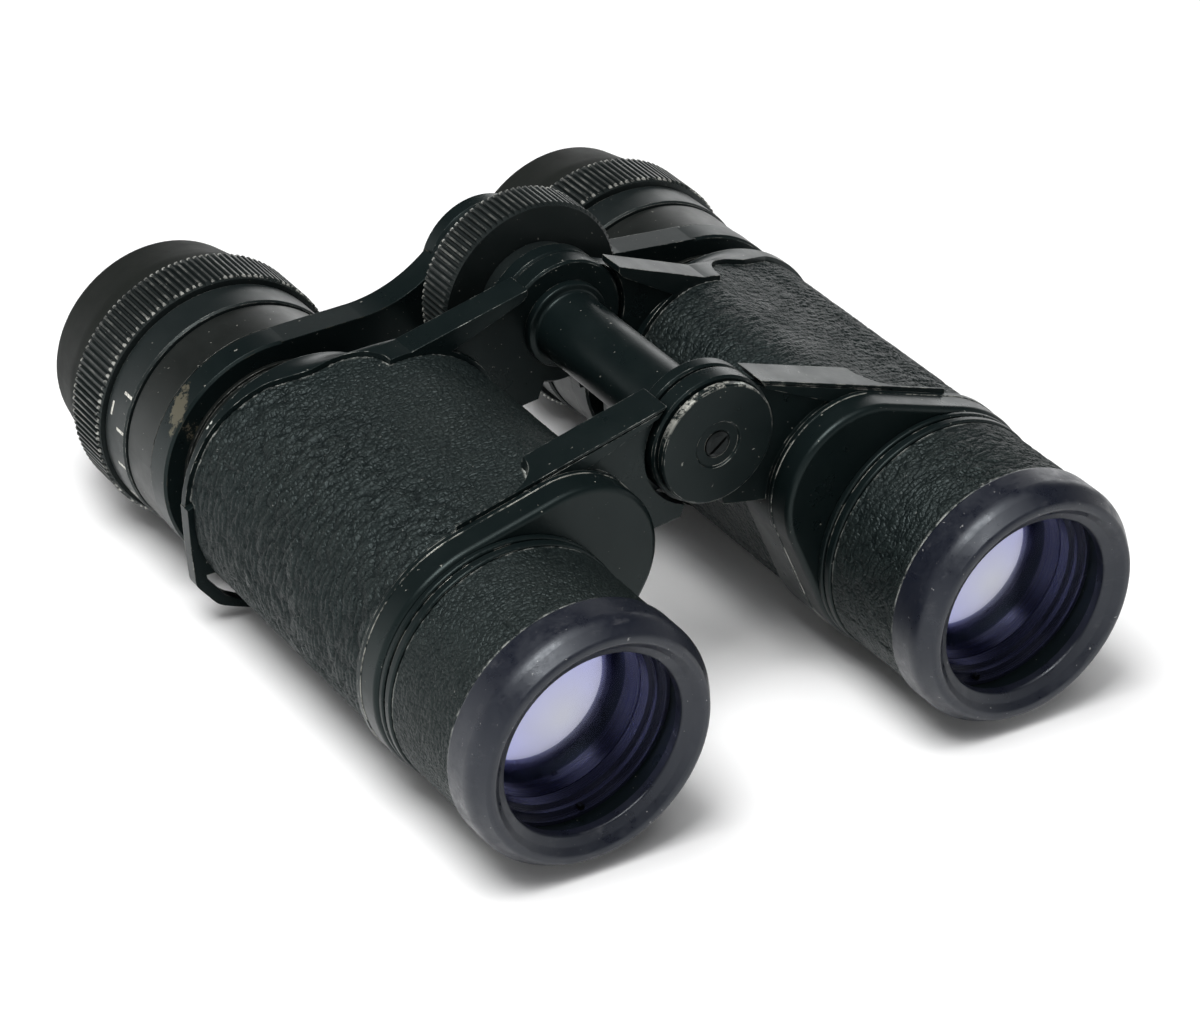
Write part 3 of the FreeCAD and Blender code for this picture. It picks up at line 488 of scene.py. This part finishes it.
def new_piece(name, vertices, faces, material):
    """Mesh object in the scene with one material."""
    mesh = bpy.data.meshes.new(name)
    mesh.from_pydata(vertices, [], faces)
    mesh.materials.append(material)
    mesh.validate()
    piece = bpy.data.objects.new(name, mesh)
    bpy.context.scene.collection.objects.link(piece)
    return piece


def set_attribute(mesh, name, values):
    """One number for each vertex, which a material can read."""
    layer = mesh.attributes.new(name, "FLOAT", "POINT")
    layer.data.foreach_set("value", np.asarray(values, np.float32))


def shade_smooth(mesh):
    mesh.polygons.foreach_set("use_smooth", [True] * len(mesh.polygons))


def polished_copy(node, name, material):
    """Copy of a CAD lens with its normals worked out afresh, so that its pole is smooth."""
    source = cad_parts[node].data
    vertices = [vertex.co[:] for vertex in source.vertices]
    faces = [face.vertices[:] for face in source.polygons]
    piece = new_piece(name, vertices, faces, material)
    shape = bmesh.new()
    shape.from_mesh(piece.data)
    bmesh.ops.remove_doubles(shape, verts=shape.verts, dist=0.001 * MM)
    for face in shape.faces:
        face.smooth = True
    for edge in shape.edges:
        edge.smooth = edge.calc_face_angle(0.0) < 0.5
    shape.to_mesh(piece.data)
    shape.free()
    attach(piece, name.split("_")[0] + "_barrel")
    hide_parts(node)


def remeshed_copy(node, name, voxel):
    """Evenly dense closed copy of a CAD node."""
    copy = bpy.data.objects.new(name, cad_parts[node].data.copy())
    bpy.context.scene.collection.objects.link(copy)
    remesh = copy.modifiers.new("even", "REMESH")
    remesh.mode = "VOXEL"
    remesh.voxel_size = voxel
    depsgraph = bpy.context.evaluated_depsgraph_get()
    mesh = bpy.data.meshes.new_from_object(copy.evaluated_get(depsgraph))
    bpy.data.objects.remove(copy)
    mesh.name = name
    piece = bpy.data.objects.new(name, mesh)
    bpy.context.scene.collection.objects.link(piece)
    return piece


def read_vectors(collection, field):
    """Array with one row of x, y, z for each item of a mesh collection."""
    values = np.zeros(len(collection) * 3, np.float32)
    collection.foreach_get(field, values)
    return values.reshape(-1, 3).astype(float)


def distance_to(points, targets):
    """Distance from each point to the nearest target."""
    tree = KDTree(len(targets))
    for index, target in enumerate(targets):
        tree.insert(target, index)
    tree.balance()
    return np.array([tree.find(point)[2] for point in points])


def housing_leather(side, material, depth, coarse, seed):
    """Leather round the prism housing, grained by displacing a dense copy of the CAD wrap.

    The creases are long and deep outboard, and fine and shallow on top, unless coarse is 1.
    """
    node = side + "_body_leather"
    piece = remeshed_copy(node, side + "_housing_leather", LEATHER_VOXEL)
    mesh = piece.data
    points = read_vectors(mesh.vertices, "co")
    normals = read_vectors(mesh.vertex_normals, "vector")
    axis = AXES[side]
    inward = np.array([-OUTWARD[side] * HOUSING_ACROSS, HOUSING_RISE])
    length = np.linalg.norm(inward)
    along = inward / length
    local = points[:, (0, 2)] - np.array([axis.x, axis.z])
    share = np.clip(local @ along, 0, length)
    core = share[:, None] * along
    away = local - core
    away /= np.linalg.norm(away, axis=1)[:, None]
    facing = (away * normals[:, (0, 2)]).sum(1)
    outer = smooth(facing, 0.55, 0.9)
    centre = inward / 2
    angle = np.arctan2(local[:, 1] - centre[1], (local[:, 0] - centre[0]) * OUTWARD[side])
    turn = np.mod(angle + 2.2, 2 * math.pi)
    on_top = smooth(turn, 2.9, 3.8)
    u = turn * GIRTH_RADIUS
    relief = grain(u, points[:, 1], seed, coarse + (1 - coarse) * (1 - on_top))
    reach = distance_to(points, points[(facing > -0.5) & (facing < 0.6)])
    inside = smooth(reach, 0.1 * MM, 0.9 * MM)
    lift = (relief - 0.75) * depth * (1 - 0.4 * on_top) * outer * (0.35 + 0.65 * inside)
    grained = points + normals * lift[:, None]
    mesh.vertices.foreach_set("co", grained.astype(np.float32).ravel())
    set_attribute(mesh, "grain", relief)
    set_attribute(mesh, "rim", 1 - smooth(reach, 0.12 * MM, 0.42 * MM))
    mesh.materials.clear()
    mesh.materials.append(material)
    shade_smooth(mesh)
    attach(piece, side + "_barrel")
    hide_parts(node)


def tube_leather(side, material, depth, coarse, seed, seam_angle):
    """Leather band round the objective tube, with a butt seam along it."""
    node = side + "_tube_leather"
    low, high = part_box(node)
    axis = AXES[side]
    outer = high.z - axis.z
    inner = outer - 0.5 * MM
    rings = int((high.y - low.y) / (0.16 * MM))
    steps = 720
    stations = np.linspace(low.y, high.y, rings)
    angles = seam_angle + np.linspace(0, 2 * math.pi, steps, endpoint=False)
    a, y = np.meshgrid(angles, stations)
    u = (a - seam_angle) * outer
    relief = grain(u, y, seed, coarse)
    to_end = np.minimum(y - low.y, high.y - y)
    past_corner = 1 - np.clip(to_end / (0.25 * MM), 0, 1)
    round_off = 0.18 * MM * (1 - np.sqrt(np.clip(1 - past_corner ** 2, 0, 1)))
    waver = 0.25 * MM * (1 + drift(y / (2 * MM), y * 0, seed))
    to_seam = np.minimum(u, 2 * math.pi * outer - u) + waver
    seam = 1 - smooth(to_seam, 0.1 * MM, 0.5 * MM)
    inside = smooth(to_end, 0.1 * MM, 0.8 * MM)
    sunk = (relief - 1.0) * depth * (0.3 + 0.7 * inside)
    radius = outer - round_off + sunk - seam * SEAM_GAP
    skin = np.stack([axis.x + radius * np.cos(a), y, axis.z + radius * np.sin(a)], -1)
    parts = [skin.reshape(-1, 3)]
    for station in (low.y, high.y):
        lip = [axis.x + inner * np.cos(angles), np.full(steps, station), axis.z + inner * np.sin(angles)]
        parts.append(np.stack(lip, -1))
    vertices = np.concatenate(parts)
    front_lip, rear_lip = rings * steps, (rings + 1) * steps
    bands = [(ring * steps, (ring + 1) * steps) for ring in range(rings - 1)]
    bands += [(front_lip, 0), ((rings - 1) * steps, rear_lip), (rear_lip, front_lip)]
    faces = []
    for ring_start, next_start in bands:
        for s in range(steps):
            t = (s + 1) % steps
            faces.append((ring_start + s, ring_start + t, next_start + t, next_start + s))
    piece = new_piece(side + "_tube_wrap", vertices.tolist(), faces, material)
    mesh = piece.data
    flat = np.zeros(2 * steps)
    set_attribute(mesh, "grain", np.concatenate([relief.ravel(), flat]))
    rim = 1 - smooth(to_end, 0.12 * MM, 0.4 * MM)
    set_attribute(mesh, "rim", np.concatenate([rim.ravel(), flat]))
    shade_smooth(mesh)
    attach(piece, side + "_barrel")
    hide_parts(node)


def dioptre_marks(material):
    """Painted ticks, a minus sign and a plus sign on the right scale ring."""
    low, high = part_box("right_scale_ring")
    axis = AXES["right"]
    radius = (high.z - low.z) / 2
    vertices, faces = [], []

    def patch(start, end, angle, width_angle):
        """Thin raised pad on the ring between two stations, centred on an angle."""
        steps = 6
        base = len(vertices)
        for lift in (-0.05 * MM, 0.02 * MM):
            for station in (start, end):
                for s in range(steps + 1):
                    a = angle + width_angle * (s / steps - 0.5)
                    r = radius + lift
                    vertices.append((axis.x + r * math.cos(a), station, axis.z + r * math.sin(a)))
        row = steps + 1
        for s in range(steps):
            faces.append((base + s, base + s + 1, base + row + s + 1, base + row + s))
            top = base + 2 * row
            faces.append((top + s, top + row + s, top + row + s + 1, top + s + 1))
            faces.append((base + s, top + s, top + s + 1, base + s + 1))
            faces.append((base + row + s, base + row + s + 1, top + row + s + 1, top + row + s))
        for s in (0, steps):
            faces.append((base + s, base + row + s, base + 3 * row + s, base + 2 * row + s))

    tick_width = 0.45 * MM / radius
    sign_length, sign_width = 2.1 * MM, 0.4 * MM
    first = math.radians(157)
    spacing = math.radians(17.6)
    for step in range(5):
        patch(low.y + 0.35 * MM, low.y + 2.4 * MM, first + step * spacing, tick_width)
    bar = low.y + 4.3 * MM
    minus = first + 0.58 * spacing
    plus = first + 3.45 * spacing
    for angle in (minus, plus):
        patch(bar - sign_width / 2, bar + sign_width / 2, angle, sign_length / radius)
    patch(bar - sign_length / 2, bar + sign_length / 2, plus, sign_width / radius)
    piece = new_piece("right_dioptre_marks", vertices, faces, material)
    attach(piece, "dioptre_ring")
    return piece


# ---------------------------------------------------------------- studio

def add_camera():
    """Camera at the object's three-quarter view, turned a little about its own axis."""
    level = math.cos(ELEVATION)
    back = Vector((math.sin(AZIMUTH) * level, -math.cos(AZIMUTH) * level, math.sin(ELEVATION)))
    right = Vector((math.cos(AZIMUTH), math.sin(AZIMUTH), 0))
    up = back.cross(right)
    right_rolled = right * math.cos(ROLL) + up * math.sin(ROLL)
    up_rolled = up * math.cos(ROLL) - right * math.sin(ROLL)
    camera = bpy.data.objects.new("camera", bpy.data.cameras.new("camera"))
    camera.data.lens = LENS_MM
    camera.data.sensor_width = 36.0
    camera.data.clip_start = 0.02
    rotation = Matrix((right_rolled, up_rolled, back)).transposed()
    camera.matrix_world = Matrix.Translation(TARGET + back * DISTANCE) @ rotation.to_4x4()
    bpy.context.scene.collection.objects.link(camera)
    bpy.context.scene.camera = camera


def area_light(name, place, size, power):
    """White soft box that faces the object."""
    light = bpy.data.lights.new(name, "AREA")
    light.shape = "RECTANGLE"
    light.size, light.size_y = size
    light.energy = power
    lamp = bpy.data.objects.new(name, light)
    lamp.location = place
    aim = Vector((0, 0, 0.02)) - Vector(place)
    lamp.rotation_euler = aim.to_track_quat("-Z", "Y").to_euler()
    bpy.context.scene.collection.objects.link(lamp)


def add_world():
    """White round the horizon, darker behind the object and nearly black overhead."""
    world = bpy.data.worlds.new("studio")
    world.use_nodes = True
    tree = world.node_tree
    direction = tree.nodes.new("ShaderNodeTexCoord").outputs["Generated"]
    split = tree.nodes.new("ShaderNodeSeparateXYZ")
    tree.links.new(direction, split.inputs[0])
    ramp_node = tree.nodes.new("ShaderNodeValToRGB")
    ramp = ramp_node.color_ramp
    ramp.elements[0].position = 0.0
    ramp.elements[0].color = (1, 1, 1, 1)
    ramp.elements[1].position = 1.0
    ramp.elements[1].color = (0.05, 0.05, 0.055, 1)
    for height, glow in ((0.14, 1.0), (0.3, 0.5), (0.5, 0.13), (0.65, 0.05)):
        ramp.elements.new(height).color = (glow, glow, glow, 1)
    tree.links.new(split.outputs[2], ramp_node.inputs[0])
    tree.links.new(ramp_node.outputs[0], tree.nodes["Background"].inputs["Color"])
    facing = tree.nodes.new("ShaderNodeVectorMath")
    facing.operation = "DOT_PRODUCT"
    facing.inputs[1].default_value = (0.57, 0.82, 0.0)
    tree.links.new(direction, facing.inputs[0])
    behind = tree.nodes.new("ShaderNodeMapRange")
    for socket, value in zip(behind.inputs[1:5], (0.0, 0.8, 1.0, 0.45)):
        socket.default_value = value
    tree.links.new(facing.outputs["Value"], behind.inputs[0])
    tree.links.new(behind.outputs[0], tree.nodes["Background"].inputs["Strength"])
    bpy.context.scene.world = world


def add_floor():
    """Square floor a hair below the object."""
    reach, height = 3.0, -0.2 * MM
    corners = [(reach * x, reach * y, height) for x, y in ((-1, -1), (1, -1), (1, 1), (-1, 1))]
    floor = new_piece("studio_floor", corners, [(0, 1, 2, 3)], floor_paint())


add_camera()
add_world()
add_floor()
bpy.context.scene.view_settings.view_transform = "Standard"
area_light("overhead", (-0.5, -0.2, 2.4), (2.8, 2.8), 40)
area_light("key", (-0.36, -0.13, 0.95), (0.5, 0.5), 9)
area_light("window", (1.0, 1.1, 0.3), (1.1, 0.5), 3.6)

ENAMEL = enamel("black_enamel")
DISC = enamel("hinge_disc_enamel", 2.0, rim_scrape)
WORN = enamel("worn_enamel", 1.2, sound=0.46)
HOUSING = enamel("right_housing_enamel", 0.6, rim_chips, (0.55, 0.57, 0.53))
BRIDGE = enamel("right_bridge_enamel", 1.0, ring_scrape, (0.11, 0.1, 0.072))
ANODISED = anodised("black_anodised")
DRUM = anodised("drum_satin", (0.005, 0.0058, 0.0053), 0.6)
KNURL = {side: knurling("knurling_" + side, side + "_knurled_ring", AXES[side]) for side in AXES}
WHEEL = knurling("knurling_wheel", "focus_wheel", HINGE)
BUMPER = bumper_rubber()
EYECUP = eyecup_plastic()
INNER = inner_black()
BLACK_STEEL = steel("blackened_steel", (0.035, 0.04, 0.04), 0.36)
BRIGHT_STEEL = steel("bright_steel", (0.5, 0.5, 0.48), 0.3)
# Lens colours: the violet film, then the pale painted reflection for each lens's middle
EYE_FILM, EYE_PAINTED_REFLECTION = (0.08, 0.09, 0.16), (0.12, 0.13, 0.22)
EYE_GLASS = coated_lens("coated_eye_lens", AXES["right"], 30 * MM, EYE_FILM, EYE_PAINTED_REFLECTION)
FRONT_FILM, FRONT_PAINTED_REFLECTION = (0.16, 0.17, 0.52), (0.26, 0.27, 0.35)
FRONT_GLASS = {}
for side, axis in AXES.items():
    FRONT_GLASS[side] = coated_lens("coated_lens_" + side, axis, 12.8 * MM, FRONT_FILM, FRONT_PAINTED_REFLECTION)
PRISM = prism_glass()
LEATHER = {"left": leather("leather_left"), "right": leather("leather_right")}

# Finish of each kind of node; a dict has one finish for each barrel
FINISHES = {
    "body_casting": ENAMEL, "front_cover": WORN, "rear_cover": ENAMEL, "bridge_arm": ENAMEL,
    "strap_lug": ENAMEL, "objective_tube": WORN, "hinge_tube": ENAMEL, "hinge_disc": DISC,
    "bridge_cap": ENAMEL, "hinge_washer": BLACK_STEEL, "hinge_screw": BLACK_STEEL,
    "retainer_screw": BLACK_STEEL, "hinge_axle": BRIGHT_STEEL, "focus_spindle": BRIGHT_STEEL,
    "bumper_ring": BUMPER, "eyecup": EYECUP, "objective_cell": INNER, "objective_retainer": INNER,
    "ocular_cell": INNER, "prism_cage": INNER, "front_lens": FRONT_GLASS, "second_lens": FRONT_GLASS,
    "field_lens": EYE_GLASS, "eye_lens": EYE_GLASS, "half_penta_prism": PRISM, "roof_prism": PRISM,
    "eyepiece_tube": DRUM, "scale_ring": ANODISED, "knurled_ring": KNURL, "focus_wheel": WHEEL,
}

# Nodes whose wear differs from the rest of their kind
SINGLES = {"right_bridge_arm": BRIDGE, "right_body_casting": HOUSING}

for name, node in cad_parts.items():
    side = name.split("_")[0]
    kind = name[len(side) + 1:] if side in AXES else name
    if kind in FINISHES:
        finish = SINGLES.get(name, FINISHES[kind])
        if isinstance(finish, dict):
            finish = finish[side]
        node.data.materials.clear()
        node.data.materials.append(finish)

housing_leather("left", LEATHER["left"], 0.28 * MM, 1.0, 11)
housing_leather("right", LEATHER["right"], 0.42 * MM, 0.12, 31)
tube_leather("left", LEATHER["left"], 0.24 * MM, 0.8, 51, math.radians(200))
tube_leather("right", LEATHER["right"], 0.24 * MM, 0.45, 71, math.radians(118))
for side in AXES:
    polished_copy(side + "_front_lens", side + "_front_glass", FRONT_GLASS[side])
dioptre_marks(white_paint())
